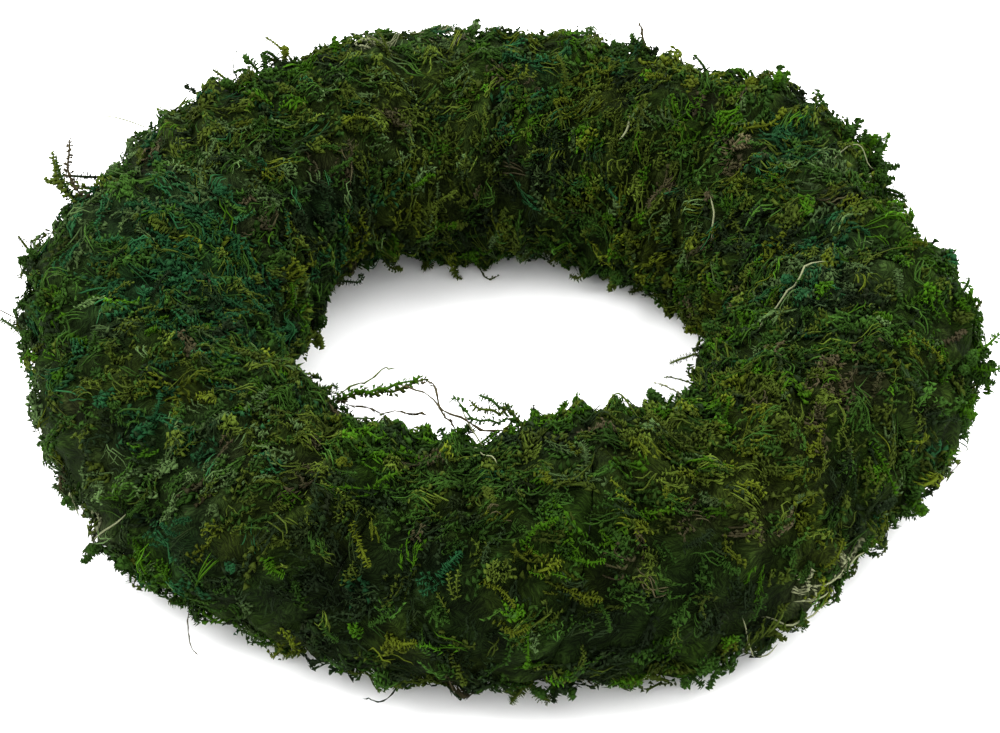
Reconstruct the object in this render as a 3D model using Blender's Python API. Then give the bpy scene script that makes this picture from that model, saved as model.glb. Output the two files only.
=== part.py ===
"""Moss wreath: handfuls of feather moss, bound with one long wire round a ring of straw.

The wreath lies on its pressed underside, with its axis along Z and the floor at Z = 0.
A place on it is given by two angles: `turn` goes round the wreath's axis from +X, and
`around` goes round the moss itself, from 0 on the outer side, over the top at 90 degrees,
to 180 on the side of the hole. Lengths are in metres.
"""

import math
import random

import bmesh
import bpy
from mathutils import Vector

# Sizes of the wreath
WREATH_WIDTH = 0.300
SHOOTS_OVER_MAT = 0.0045
MAT_WIDTH = 0.075
MAT_OVER_CENTRE = 0.0365
MAT_UNDER_CENTRE = 0.0335
RING_RADIUS = (WREATH_WIDTH - MAT_WIDTH) / 2 - SHOOTS_OVER_MAT
CENTRE_HEIGHT = 0.033
PRESSED_FLAT = math.radians(16)
# The shoots reach unevenly, so the ring's own centre is a little off the middle of the whole.
RING_CENTRE = (0.0003, -0.0017)
STRAW_RADIUS = 0.026

# How the moss is bound
HANDFULS = 12
WIRE_RADIUS = 0.0004
GROOVE_DEPTH = 0.0040
HALF_SLIT = 0.0003
LEAST_MOSS = 0.0035
WIRE_OVER_RIM = 0.0008
STRAW_TO_MOSS = 0.0010

# Stations of a handful: shares of its length along the ring, and of the way round it
LENGTH_CUTS = (0.12, 0.37, 0.63, 0.88)
ROUND_STEPS = 12
ROUND_CUTS = (0.5 / 12, *(step / 12 for step in range(1, 12)), 11.5 / 12)
UNDERSIDE = math.radians(-90)
STEP_TURN = math.radians(360) / HANDFULS

# Bulges and hollows of the moss: turn and around in degrees, rise in metres
BULGES = (
    (0, 0, 0.005),
    (15, 20, -0.003),
    (42, 40, 0.005),
    (82, -130, -0.003),
    (92, 50, 0.003),
    (112, 50, 0.002),
    (130, 45, 0.002),
    (120, -132, -0.007),
    (135, -138, -0.003),
    (150, 35, 0.003),
    (155, -148, 0.004),
    (166, 18, 0.006),
    (176, 180, 0.003),
    (240, 130, -0.002),
    (255, -50, -0.004),
    (284, 130, 0.007),
    (300, -50, 0.003),
    (315, 140, -0.003),
    (330, -30, -0.002),
    (346, -18, 0.003),
)
BULGE_SPREAD_TURN = math.radians(8)
BULGE_SPREAD_AROUND = math.radians(48)
RIPPLES = 14
RIPPLE_RISE = 0.0008

# What grows out of each handful: feathery fronds and slender shoots, in rows
FROND_ROWS = 6
FRONDS_IN_ROW = 2
FROND_SPACING = 0.0086
FROND_LENGTH = (0.032, 0.040)
FROND_HALF_WIDTH = 0.0085
FROND_THICKNESS = 0.0009
FROND_CURL = 0.7
FROND_DROOP = 0.0016
LEAFLETS = 3
RIB_HALF_WIDTH = 0.0012
SHOOT_ROWS = 4
SHOOTS_IN_ROW = 2
SHOOT_SPACING = 0.0054
SHOOT_LENGTH = (0.018, 0.026)
SHOOT_SIDES = 3
SHOOT_HALF_WIDTH = 0.0022
SHOOT_HALF_THICKNESS = 0.0013
SHOOT_CURL = 1.2
LIFT = (0.0055, 0.0090)
ROOT_DEPTH = 0.0043
TRIES = 30
SLIT_MARGIN = 0.0016
FLOOR_MARGIN = 0.0040

# Stray sprigs that stand clear of the rest: turn, around and heading in degrees, length and lift in metres
STRAY_SPRIGS = (
    (152, 50, 260, 0.030, 0.014),
    (128, 55, 110, 0.028, 0.011),
    (214, 124, 80, 0.034, 0.017),
    (248, 118, 70, 0.028, 0.011),
    (303, 124, 85, 0.026, 0.011),
    (2, 5, 60, 0.028, 0.010),
    (55, 40, 265, 0.026, 0.009),
    (331, 15, 100, 0.026, 0.009),
)

MOSS_COLOURS = {
    "deep": (0.016, 0.045, 0.012),
    "emerald": (0.010, 0.060, 0.028),
    "olive": (0.035, 0.048, 0.010),
    "bright": (0.035, 0.085, 0.006),
}
HANDFUL_COLOURS = (
    "bright", "olive", "deep", "olive", "deep", "emerald",
    "deep", "emerald", "deep", "olive", "bright", "bright",
)


def clear_scene():
    for old in list(bpy.data.objects):
        bpy.data.objects.remove(old)


def new_collection(name):
    made = bpy.data.collections.new(name)
    bpy.context.scene.collection.children.link(made)
    return made


def material(name, colour, roughness, metallic=0.0):
    made = bpy.data.materials.new(name)
    made.use_nodes = True
    shader = made.node_tree.nodes["Principled BSDF"]
    shader.inputs["Base Color"].default_value = (*colour, 1)
    shader.inputs["Roughness"].default_value = roughness
    shader.inputs["Metallic"].default_value = metallic
    return made


# The form of the moss
def angle_between(a, b):
    """The signed way from b to a round a circle, in radians."""
    return math.remainder(a - b, math.tau)


def make_ripples():
    """Waves that run whole times round the wreath and round the moss, so they meet themselves."""
    draw = random.Random(7)
    waves = []
    for _ in range(RIPPLES):
        times_round, times_over = draw.randint(3, 15), draw.randint(-4, 4)
        phase = draw.uniform(0, math.tau)
        waves.append((times_round, times_over, phase, RIPPLE_RISE * draw.uniform(0.4, 1.0)))
    return waves


RIPPLE_WAVES = make_ripples()


def moss_radius(turn, around):
    """Distance from the middle of the tube of moss to its surface, which is pressed flat below."""
    down = -math.sin(around)
    if down > math.cos(PRESSED_FLAT):
        return CENTRE_HEIGHT / down
    half_height = MAT_UNDER_CENTRE if down > 0 else MAT_OVER_CENTRE
    radius = 1 / math.hypot(math.cos(around) / (MAT_WIDTH / 2), math.sin(around) / half_height)
    for bulge_turn, bulge_around, rise in BULGES:
        along = angle_between(turn, math.radians(bulge_turn)) / BULGE_SPREAD_TURN
        over = angle_between(around, math.radians(bulge_around)) / BULGE_SPREAD_AROUND
        radius += rise * math.exp(-(along**2 + over**2) / 2)
    for times_round, times_over, phase, rise in RIPPLE_WAVES:
        radius += rise * math.sin(times_round * turn + times_over * around + phase)
    return min(radius, CENTRE_HEIGHT / down) if down > 0 else radius


def place(turn, around, radius):
    """The point at that distance from the middle of the tube of moss."""
    reach = RING_RADIUS + radius * math.cos(around)
    x = RING_CENTRE[0] + reach * math.cos(turn)
    y = RING_CENTRE[1] + reach * math.sin(turn)
    return Vector((x, y, CENTRE_HEIGHT + radius * math.sin(around)))


def groove_radius(turn, around):
    """The same distance at the bottom of the groove that the wire pulls in between two handfuls."""
    return max(moss_radius(turn, around) - GROOVE_DEPTH, STRAW_RADIUS + LEAST_MOSS)


def slit_turn(number, share_round):
    """Where the slit before a handful runs. The wire moves on by one handful with each turn."""
    return (number + share_round) * STEP_TURN


def cut_across(bm, axis, places):
    """Cuts a mesh right through with a plane at each place along an axis."""
    normal = Vector([float(k == axis) for k in range(3)])
    for at in places:
        everything = bm.verts[:] + bm.edges[:] + bm.faces[:]
        bmesh.ops.bisect_plane(bm, geom=everything, plane_co=normal * at, plane_no=normal)


def finish_mesh(bm, name, collection):
    """Makes an object of a closed mesh, with flat triangles for faces, all turned outwards."""
    bmesh.ops.triangulate(bm, faces=bm.faces[:])
    bmesh.ops.recalc_face_normals(bm, faces=bm.faces[:])
    if bm.calc_volume(signed=True) < 0:
        bmesh.ops.reverse_faces(bm, faces=bm.faces[:])
    mesh = bpy.data.meshes.new(name)
    bm.to_mesh(mesh)
    bm.free()
    made = bpy.data.objects.new(name, mesh)
    collection.objects.link(made)
    return made


def moss_mat(number, collection):
    """The mat of one handful: a block, cut at its stations and wrapped round the straw ring from
    the underside, over the outer side and the top, to the underside again."""
    bm = bmesh.new()
    bmesh.ops.create_cube(bm, size=1)
    cut_across(bm, 0, [cut - 0.5 for cut in LENGTH_CUTS])
    cut_across(bm, 1, [cut - 0.5 for cut in ROUND_CUTS])
    for vert in bm.verts:
        share_long, share_round = vert.co.x + 0.5, vert.co.y + 0.5
        at_rim = min(share_long, 1 - share_long) < LENGTH_CUTS[0] / 2
        outside = vert.co.z > 0
        around = UNDERSIDE + share_round * math.tau
        turn = slit_turn(number, share_round) + share_long * STEP_TURN
        # The handful stops half a slit short of its neighbours, and of its own other end below.
        if min(share_round, 1 - share_round) < ROUND_CUTS[0] / 2:
            around += math.copysign(HALF_SLIT / CENTRE_HEIGHT, 0.5 - share_round)
        if outside:
            radius = groove_radius(turn, around) if at_rim else moss_radius(turn, around)
        else:
            radius = STRAW_RADIUS + STRAW_TO_MOSS
        if at_rim:
            turn += math.copysign(HALF_SLIT / (RING_RADIUS + radius * math.cos(around)), 0.5 - share_long)
        vert.co = place(turn, around, radius)
    return finish_mesh(bm, f"moss_{number + 1:02d}", collection)


# The shoots
class Path:
    """The line of a stem over the moss. It starts below the surface, bends and lifts off at its tip."""

    def __init__(self, turn, around, heading, length, curl, lift):
        self.turn, self.around, self.heading = turn, around, heading
        self.length, self.curl, self.lift = length, curl, lift

    def point(self, along, aside, up):
        """The point at a share of the length, with offsets to the side and away from the moss."""
        steps = 8
        x = y = 0.0
        for step in range(steps):
            bent = self.heading + self.curl * along * (step + 0.5) / steps
            x += math.cos(bent) * along * self.length / steps
            y += math.sin(bent) * along * self.length / steps
        bent = self.heading + self.curl * along
        x -= math.sin(bent) * aside
        y += math.cos(bent) * aside
        radius = moss_radius(self.turn, self.around)
        around = self.around + y / radius
        turn = self.turn + x / (RING_RADIUS + radius * math.cos(around))
        rise = self.lift * along**0.8 - ROOT_DEPTH * (1 - along) ** 3
        return turn, around, moss_radius(turn, around) + rise + up


def shoot(path):
    """A slender three-sided shoot, thickest a little way up from its root."""
    bm = bmesh.new()
    bmesh.ops.create_cone(bm, cap_ends=True, segments=SHOOT_SIDES, radius1=1, radius2=0, depth=1)
    cut_across(bm, 2, [-0.05])
    spots = []
    for vert in bm.verts:
        along = min(1.0, vert.co.z + 0.5)
        bow = 1 / math.sqrt(1 - along) if along < 0.999 else 0.0
        aside, up = vert.co.x * bow * SHOOT_HALF_WIDTH, vert.co.y * bow * SHOOT_HALF_THICKNESS
        spots.append(path.point(along, aside, up))
    return bm, spots


def frond(path):
    """A flat feathery frond: a thin blade cut to its rib between the leaflets, drooping to each side."""
    edge = [(0.0, RIB_HALF_WIDTH), (0.18, RIB_HALF_WIDTH)]
    for leaflet in range(LEAFLETS):
        start = 0.18 + 0.66 * (leaflet + 1) / LEAFLETS
        edge.append((start + 0.06, FROND_HALF_WIDTH * (1 - 0.22 * leaflet)))
        edge.append((start, RIB_HALF_WIDTH * (1 - 0.2 * leaflet)))
    outline = edge + [(1.0, 0.0)] + [(along, -aside) for along, aside in reversed(edge)]
    bm = bmesh.new()
    bm.faces.new([bm.verts.new((along, aside, -0.5)) for along, aside in outline])
    raised = bmesh.ops.extrude_face_region(bm, geom=bm.faces[:])
    top = [part for part in raised["geom"] if isinstance(part, bmesh.types.BMVert)]
    bmesh.ops.translate(bm, vec=(0, 0, 1), verts=top)
    bmesh.ops.triangulate(bm, faces=bm.faces[:])
    spots = []
    for vert in bm.verts:
        along, aside, side = vert.co
        droop = FROND_DROOP * (aside / FROND_HALF_WIDTH) ** 2
        spots.append(path.point(along, aside, side * FROND_THICKNESS - droop))
    return bm, spots


def fits(number, spots):
    """True if all of a shoot stays inside its own handful, off the wire, the straw and the floor."""
    for turn, around, radius in spots:
        share_round = (around - UNDERSIDE) / math.tau
        reach = RING_RADIUS + radius * math.cos(around)
        margin = SLIT_MARGIN / reach
        low = slit_turn(number, share_round) + margin
        if not low < turn < low + STEP_TURN - 2 * margin:
            return False
        if not SLIT_MARGIN < share_round * math.tau * radius < math.tau * radius - SLIT_MARGIN:
            return False
        if CENTRE_HEIGHT + radius * math.sin(around) < FLOOR_MARGIN:
            return False
        if radius < STRAW_RADIUS + STRAW_TO_MOSS + 0.0005:
            return False
    return True


def grow(number, form, path, grown, spacing, collection):
    """Adds a shoot or frond to the collection, if it fits in the handful and keeps its spacing from what
    has grown there. Returns whether it did."""
    line = [place(*path.point(step / 5, 0, 0)) for step in range(6)]
    if any((here - other).length < spacing for here in line for other in grown):
        return False
    bm, spots = form(path)
    if not fits(number, spots):
        bm.free()
        return False
    for vert, spot in zip(bm.verts, spots):
        vert.co = place(*spot)
    finish_mesh(bm, "shoot", collection)
    grown.extend(line)
    return True


def stray_paths(number):
    """The stray sprigs whose root lies in this handful."""
    found = []
    for turn, around, heading, length, lift in STRAY_SPRIGS:
        turn, around = math.radians(turn), math.radians(around)
        share_round = (around - UNDERSIDE) / math.tau
        share_long = (turn / STEP_TURN - share_round - number) % HANDFULS
        if share_long < 1:
            turn = slit_turn(number, share_round) + share_long * STEP_TURN
            found.append(Path(turn, around, math.radians(heading), length, 0.5, lift))
    return found


def add_rows(number, draw, form, size, grown, collection):
    """Grows one kind of shoot in rows over the handful. Where one doesn't fit it is drawn again."""
    rows, in_row, length, curl, spacing = size
    for row in range(rows):
        for spot in range(in_row):
            for _ in range(TRIES):
                share_round = 0.15 + 0.70 * (row + draw.random()) / rows
                share_long = 0.14 + 0.72 * (spot + draw.random()) / in_row
                path = Path(
                    slit_turn(number, share_round) + share_long * STEP_TURN,
                    UNDERSIDE + share_round * math.tau,
                    draw.uniform(0, math.tau),
                    draw.uniform(*length),
                    draw.uniform(-curl, curl),
                    draw.uniform(*LIFT),
                )
                if grow(number, form, path, grown, spacing, collection):
                    break


def add_shoots(number, collection):
    draw = random.Random(300 + number)
    grown = []
    for path in stray_paths(number):
        grow(number, frond, path, grown, 0, collection)
    fronds = (FROND_ROWS, FRONDS_IN_ROW, FROND_LENGTH, FROND_CURL, FROND_SPACING)
    add_rows(number, draw, frond, fronds, grown, collection)
    shoots = (SHOOT_ROWS, SHOOTS_IN_ROW, SHOOT_LENGTH, SHOOT_CURL, SHOOT_SPACING)
    add_rows(number, draw, shoot, shoots, grown, collection)


def join_shoots(mat, shoots):
    """Fuses the shoots into the mat of their handful, and removes what they were made of."""
    join = mat.modifiers.new("join", "BOOLEAN")
    join.operation = "UNION"
    join.operand_type = "COLLECTION"
    join.collection = shoots
    join.solver = "MANIFOLD"
    bpy.context.view_layer.objects.active = mat
    bpy.ops.object.modifier_apply(modifier=join.name)
    for old in list(shoots.objects):
        bpy.data.objects.remove(old)
    bpy.data.collections.remove(shoots)


def moss_handful(number, wreath, mosses):
    mat = moss_mat(number, wreath)
    shoots = new_collection(f"shoots_{number + 1:02d}")
    add_shoots(number, shoots)
    join_shoots(mat, shoots)
    mat.data.materials.clear()
    mat.data.materials.append(mosses[HANDFUL_COLOURS[number]])


# What is under and between the moss
def straw_ring(wreath):
    bpy.ops.mesh.primitive_torus_add(
        location=(*RING_CENTRE, CENTRE_HEIGHT),
        major_radius=RING_RADIUS, minor_radius=STRAW_RADIUS,
        major_segments=2 * HANDFULS, minor_segments=ROUND_STEPS,
    )
    ring = bpy.context.object
    ring.name = ring.data.name = "straw_ring"
    ring.data.shade_smooth()
    ring.data.materials.append(material("straw", (0.42, 0.30, 0.13), 0.8))
    for other in ring.users_collection:
        other.objects.unlink(ring)
    wreath.objects.link(ring)


def binding_wire(wreath):
    """One wire, wound on by a handful with each turn, whose two ends are twisted together below."""
    curve = bpy.data.curves.new("binding_wire", "CURVE")
    curve.dimensions = "3D"
    curve.bevel_depth = WIRE_RADIUS
    curve.bevel_resolution = 0
    spline = curve.splines.new("POLY")
    spots = [number + share for number in range(HANDFULS) for share in (0, *ROUND_CUTS)]
    spline.points.add(len(spots) - 1)
    for share_round, point in zip(spots, spline.points):
        turn = slit_turn(0, share_round)
        around = UNDERSIDE + (share_round % 1) * math.tau
        point.co = (*place(turn, around, groove_radius(turn, around) + WIRE_OVER_RIM), 1)
    spline.use_cyclic_u = True
    curve.materials.append(material("lacquered_wire", (0.03, 0.05, 0.03), 0.4, 1.0))
    wreath.objects.link(bpy.data.objects.new("binding_wire", curve))


def main():
    clear_scene()
    wreath = new_collection("moss_wreath")
    mosses = {name: material(f"moss_{name}", colour, 0.9) for name, colour in MOSS_COLOURS.items()}
    straw_ring(wreath)
    binding_wire(wreath)
    for number in range(HANDFULS):
        moss_handful(number, wreath, mosses)


main()
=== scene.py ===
import math
import random

import bpy
import numpy as np
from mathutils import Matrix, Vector


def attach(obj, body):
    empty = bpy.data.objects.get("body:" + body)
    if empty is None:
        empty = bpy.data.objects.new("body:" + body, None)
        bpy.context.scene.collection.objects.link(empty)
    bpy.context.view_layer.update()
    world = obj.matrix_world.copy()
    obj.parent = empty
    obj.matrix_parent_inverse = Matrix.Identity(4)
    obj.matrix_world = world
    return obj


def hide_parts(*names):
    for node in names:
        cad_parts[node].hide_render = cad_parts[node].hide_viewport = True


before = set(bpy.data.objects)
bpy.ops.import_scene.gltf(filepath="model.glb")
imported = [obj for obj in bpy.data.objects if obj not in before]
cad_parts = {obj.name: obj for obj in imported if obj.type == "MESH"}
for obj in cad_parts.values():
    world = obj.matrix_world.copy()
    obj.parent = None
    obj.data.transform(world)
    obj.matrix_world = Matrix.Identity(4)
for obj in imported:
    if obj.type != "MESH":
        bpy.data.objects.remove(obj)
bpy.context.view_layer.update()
scene = bpy.context.scene

# Straw ring.
# The ring of bundled rye straw that the moss is bound on. It is hidden all round, so the CAD
# solid is kept as it is and gets the colour and streaks of dry straw.
straw = bpy.data.materials.new("dry_straw")
straw.use_nodes = True
tree = straw.node_tree
shader = tree.nodes["Principled BSDF"]
shader.inputs["Roughness"].default_value = 0.75
place_node = tree.nodes.new("ShaderNodeTexCoord")
streaks = tree.nodes.new("ShaderNodeTexNoise")
streaks.inputs["Scale"].default_value = 320
streaks.inputs["Detail"].default_value = 3
ramp = tree.nodes.new("ShaderNodeValToRGB")
ramp.color_ramp.elements[0].color = (0.20, 0.13, 0.05, 1)
ramp.color_ramp.elements[1].color = (0.52, 0.40, 0.20, 1)
tree.links.new(place_node.outputs["Object"], streaks.inputs["Vector"])
tree.links.new(streaks.outputs["Fac"], ramp.inputs["Fac"])
tree.links.new(ramp.outputs["Color"], shader.inputs["Base Color"])
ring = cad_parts["straw_ring"]
ring.data.materials.clear()
ring.data.materials.append(straw)
ring.data.shade_smooth()

# Binding wire.
# Thin steel wire with a dark green lacquer, a little duller and browner where the moss has rubbed
# it. It has sunk into the moss between the handfuls.
lacquer = bpy.data.materials.new("green_lacquered_wire")
lacquer.use_nodes = True
tree = lacquer.node_tree
shader = tree.nodes["Principled BSDF"]
shader.inputs["Specular IOR Level"].default_value = 0.3
place_node = tree.nodes.new("ShaderNodeTexCoord")
rubbed = tree.nodes.new("ShaderNodeTexNoise")
rubbed.inputs["Scale"].default_value = 260
rubbed.inputs["Detail"].default_value = 4
ramp = tree.nodes.new("ShaderNodeValToRGB")
ramp.color_ramp.elements[0].position = 0.40
ramp.color_ramp.elements[0].color = (0.012, 0.040, 0.016, 1)
ramp.color_ramp.elements[1].position = 0.72
ramp.color_ramp.elements[1].color = (0.060, 0.055, 0.035, 1)
dull = tree.nodes.new("ShaderNodeMapRange")
dull.inputs["To Min"].default_value = 0.4
dull.inputs["To Max"].default_value = 0.62
tree.links.new(place_node.outputs["Object"], rubbed.inputs["Vector"])
tree.links.new(rubbed.outputs["Fac"], ramp.inputs["Fac"])
tree.links.new(ramp.outputs["Color"], shader.inputs["Base Color"])
tree.links.new(rubbed.outputs["Fac"], dull.inputs["Value"])
tree.links.new(dull.outputs["Result"], shader.inputs["Roughness"])
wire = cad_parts["binding_wire"]
wire.data.materials.clear()
wire.data.materials.append(lacquer)
wire.data.shade_smooth()

# Moss material.
# Dried and dyed feather moss, quite matte. The colour of each shoot is in the attribute "tone",
# which also holds painted shade and light, and its leaflets make it a little lighter and darker along
# its length.
moss = bpy.data.materials.new("feather_moss")
moss.use_nodes = True
tree = moss.node_tree
shader = tree.nodes["Principled BSDF"]
shader.inputs["Roughness"].default_value = 0.7
shader.inputs["Specular IOR Level"].default_value = 0.02
tone = tree.nodes.new("ShaderNodeAttribute")
tone.attribute_name = "tone"
place_node = tree.nodes.new("ShaderNodeTexCoord")
leaflets = tree.nodes.new("ShaderNodeTexNoise")
leaflets.inputs["Scale"].default_value = 1400
leaflets.inputs["Detail"].default_value = 2
light_dark = tree.nodes.new("ShaderNodeMapRange")
light_dark.inputs["From Min"].default_value = 0.32
light_dark.inputs["From Max"].default_value = 0.68
light_dark.inputs["To Min"].default_value = 0.9
light_dark.inputs["To Max"].default_value = 1.1
shade = tree.nodes.new("ShaderNodeVectorMath")
shade.operation = "SCALE"
tree.links.new(place_node.outputs["Object"], leaflets.inputs["Vector"])
tree.links.new(leaflets.outputs["Fac"], light_dark.inputs["Value"])
tree.links.new(tone.outputs["Color"], shade.inputs[0])
tree.links.new(light_dark.outputs["Result"], shade.inputs["Scale"])
tree.links.new(shade.outputs["Vector"], shader.inputs["Base Color"])

# Mat material.
# The mat beneath is the same moss pressed flat: short combed tufts, each with its own lie. Its
# colour is painted deep shade under the shoots, darkest between the stems. The lines follow the
# surface unrolled, in metres.
mat_moss_painted_shade = bpy.data.materials.new("moss_mat_painted_shade")
mat_moss_painted_shade.use_nodes = True
tree = mat_moss_painted_shade.node_tree
shader = tree.nodes["Principled BSDF"]
shader.inputs["Roughness"].default_value = 0.8
shader.inputs["Specular IOR Level"].default_value = 0.02
unrolled = tree.nodes.new("ShaderNodeUVMap")
unrolled.uv_map = "unrolled"
drift = tree.nodes.new("ShaderNodeTexNoise")
drift.inputs["Scale"].default_value = 260
drift.inputs["Detail"].default_value = 2
drift_middle = tree.nodes.new("ShaderNodeVectorMath")
drift_middle.operation = "SUBTRACT"
drift_middle.inputs[1].default_value = (0.5, 0.5, 0.5)
drift_size = tree.nodes.new("ShaderNodeVectorMath")
drift_size.operation = "MULTIPLY"
drift_size.inputs[1].default_value = (0.0025, 0.0025, 0)
drifted = tree.nodes.new("ShaderNodeVectorMath")
drifted.operation = "ADD"
tufts = tree.nodes.new("ShaderNodeTexVoronoi")
tufts.voronoi_dimensions = "2D"
tufts.inputs["Scale"].default_value = 190
from_middle = tree.nodes.new("ShaderNodeVectorMath")
from_middle.operation = "SUBTRACT"
lie = tree.nodes.new("ShaderNodeMath")
lie.operation = "MULTIPLY"
lie.inputs[1].default_value = 6.283
combed = tree.nodes.new("ShaderNodeVectorRotate")
combed.rotation_type = "Z_AXIS"
drawn_out = tree.nodes.new("ShaderNodeVectorMath")
drawn_out.operation = "MULTIPLY"
drawn_out.inputs[1].default_value = (460, 2300, 0)
apart = tree.nodes.new("ShaderNodeVectorMath")
apart.operation = "MULTIPLY_ADD"
apart.inputs[1].default_value = (37, 37, 37)
stems = tree.nodes.new("ShaderNodeTexNoise")
stems.inputs["Scale"].default_value = 1
stems.inputs["Detail"].default_value = 3
# Painted shade: the tone is scaled down to between 0.12 and 0.39, least between the stems.
painted_shade_between_stems = tree.nodes.new("ShaderNodeMapRange")
painted_shade_between_stems.inputs["From Min"].default_value = 0.42
painted_shade_between_stems.inputs["From Max"].default_value = 0.64
painted_shade_between_stems.inputs["To Min"].default_value = 0.12
painted_shade_between_stems.inputs["To Max"].default_value = 0.39
shade = tree.nodes.new("ShaderNodeVectorMath")
shade.operation = "SCALE"
tone = tree.nodes.new("ShaderNodeAttribute")
tone.attribute_name = "tone"
relief = tree.nodes.new("ShaderNodeBump")
relief.inputs["Strength"].default_value = 1
relief.inputs["Distance"].default_value = 0.0008
tree.links.new(unrolled.outputs["UV"], drift.inputs["Vector"])
tree.links.new(drift.outputs["Color"], drift_middle.inputs[0])
tree.links.new(drift_middle.outputs["Vector"], drift_size.inputs[0])
tree.links.new(drift_size.outputs["Vector"], drifted.inputs[0])
tree.links.new(unrolled.outputs["UV"], drifted.inputs[1])
tree.links.new(drifted.outputs["Vector"], tufts.inputs["Vector"])
tree.links.new(drifted.outputs["Vector"], from_middle.inputs[0])
tree.links.new(tufts.outputs["Position"], from_middle.inputs[1])
tree.links.new(tufts.outputs["Color"], lie.inputs[0])
tree.links.new(from_middle.outputs["Vector"], combed.inputs["Vector"])
tree.links.new(lie.outputs["Value"], combed.inputs["Angle"])
tree.links.new(combed.outputs["Vector"], drawn_out.inputs[0])
tree.links.new(tufts.outputs["Color"], apart.inputs[0])
tree.links.new(drawn_out.outputs["Vector"], apart.inputs[2])
tree.links.new(apart.outputs["Vector"], stems.inputs["Vector"])
tree.links.new(stems.outputs["Fac"], painted_shade_between_stems.inputs["Value"])
tree.links.new(tone.outputs["Color"], shade.inputs[0])
tree.links.new(painted_shade_between_stems.outputs["Result"], shade.inputs["Scale"])
tree.links.new(shade.outputs["Vector"], shader.inputs["Base Color"])
tree.links.new(stems.outputs["Fac"], relief.inputs["Height"])
tree.links.new(relief.outputs["Normal"], shader.inputs["Normal"])


# Moss shoots.
# A tangle of dried moss: bare wisps, sparse, feathery and broad shoots with small leaves all round,
# and short puffs, with a few long sprigs, twigs and straws. Each kind is modelled once or twice here,
# along +X and 1 long with its thickness in metres, and laid in many copies further on.
def take_shape(made):
    """The corners and triangles of a finished shoot. The object itself isn't needed any more."""
    mesh = made.data
    mesh.calc_loop_triangles()
    corners = np.empty(len(mesh.vertices) * 3)
    mesh.vertices.foreach_get("co", corners)
    faces = np.empty(len(mesh.loop_triangles) * 3, int)
    mesh.loop_triangles.foreach_get("vertices", faces)
    bpy.data.objects.remove(made)
    return corners.reshape(-1, 3), faces.reshape(-1, 3)


STEM_THINNING = 0.35


def add_stem(rings, radius):
    """A closed three-sided stem from x = 0 to 1, thin at both ends."""
    on_its_side = (0, math.radians(90), 0)
    bpy.ops.mesh.primitive_uv_sphere_add(segments=3, ring_count=rings, radius=0.5, rotation=on_its_side)
    bpy.ops.object.transform_apply(rotation=True)
    made = bpy.context.object
    for vert in made.data.vertices:
        x, y, z = vert.co
        # The rings of a sphere crowd at its ends. Here they stand at even distances.
        along = math.acos(max(-1, min(1, -2 * x))) / math.pi
        across = math.hypot(y, z) * 2
        fuller = across**STEM_THINNING / max(across, 1e-6)
        vert.co = (along, y * 2 * fuller * radius, z * 2 * fuller * radius)
    return made


def add_rough(rings, radius, seed):
    """A stem with small leaves pressed close to it, which make it rough and uneven in thickness."""
    draw = random.Random(seed)
    made = add_stem(rings, 1)
    swell = [draw.uniform(0.65, 1.45) for _ in range(rings + 1)]
    twist = [draw.uniform(0, math.tau) for _ in range(rings + 1)]
    for vert in made.data.vertices:
        x, y, z = vert.co
        ring = round(x * rings)
        angle = math.atan2(z, y) + ring * math.radians(60)
        reach = radius * math.hypot(y, z) * swell[ring] * draw.uniform(0.8, 1.25)
        aside = radius * 0.45
        vert.co = (
            x + draw.uniform(-0.3, 0.3) / rings * (0 < ring < rings),
            math.cos(angle) * reach + math.cos(twist[ring]) * aside,
            math.sin(angle) * reach + math.sin(twist[ring]) * aside,
        )
    return made


# Leaves follow each other round a stem by the golden angle. A three-sided cone of radius 1 is 1.73 wide,
# and 0.58 of that is 1.
LEAF_TO_LEAF = math.radians(137.5)
CONE_TO_WIDTH = 0.58


def add_feathery(leaves, rings, stem_radius, reach, breadth, blunt, seed):
    """A stem with small leaves all round it, each leaning forward. Of them, the share `blunt` ends blunt."""
    draw = random.Random(seed)
    parts = [add_stem(rings, stem_radius)]
    for number in range(leaves):
        at = 0.05 + 0.90 * (number + draw.uniform(-0.6, 0.6) * (0 < number < leaves - 1)) / (leaves - 1)
        side = number * LEAF_TO_LEAF + draw.uniform(-0.7, 0.7)
        length = reach * draw.uniform(0.45, 1.25) * (1.1 - 0.45 * at)
        pointed = draw.random() > blunt
        bpy.ops.mesh.primitive_cone_add(vertices=3, radius1=pointed, radius2=not pointed, depth=1)
        leaf = bpy.context.object
        for vert in leaf.data.vertices:
            out, across = (vert.co.z + 0.5) * length, -vert.co.y * breadth * CONE_TO_WIDTH
            vert.co = (
                at + (vert.co.x * 0.6 + (vert.co.z + 0.5) * 0.9) / leaves,
                math.cos(side) * out - math.sin(side) * across,
                math.sin(side) * out + math.cos(side) * across,
            )
        parts.append(leaf)
    bpy.ops.object.select_all(action="DESELECT")
    for part in parts:
        part.select_set(True)
    bpy.context.view_layer.objects.active = parts[0]
    bpy.ops.object.join()
    return bpy.context.object


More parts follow.
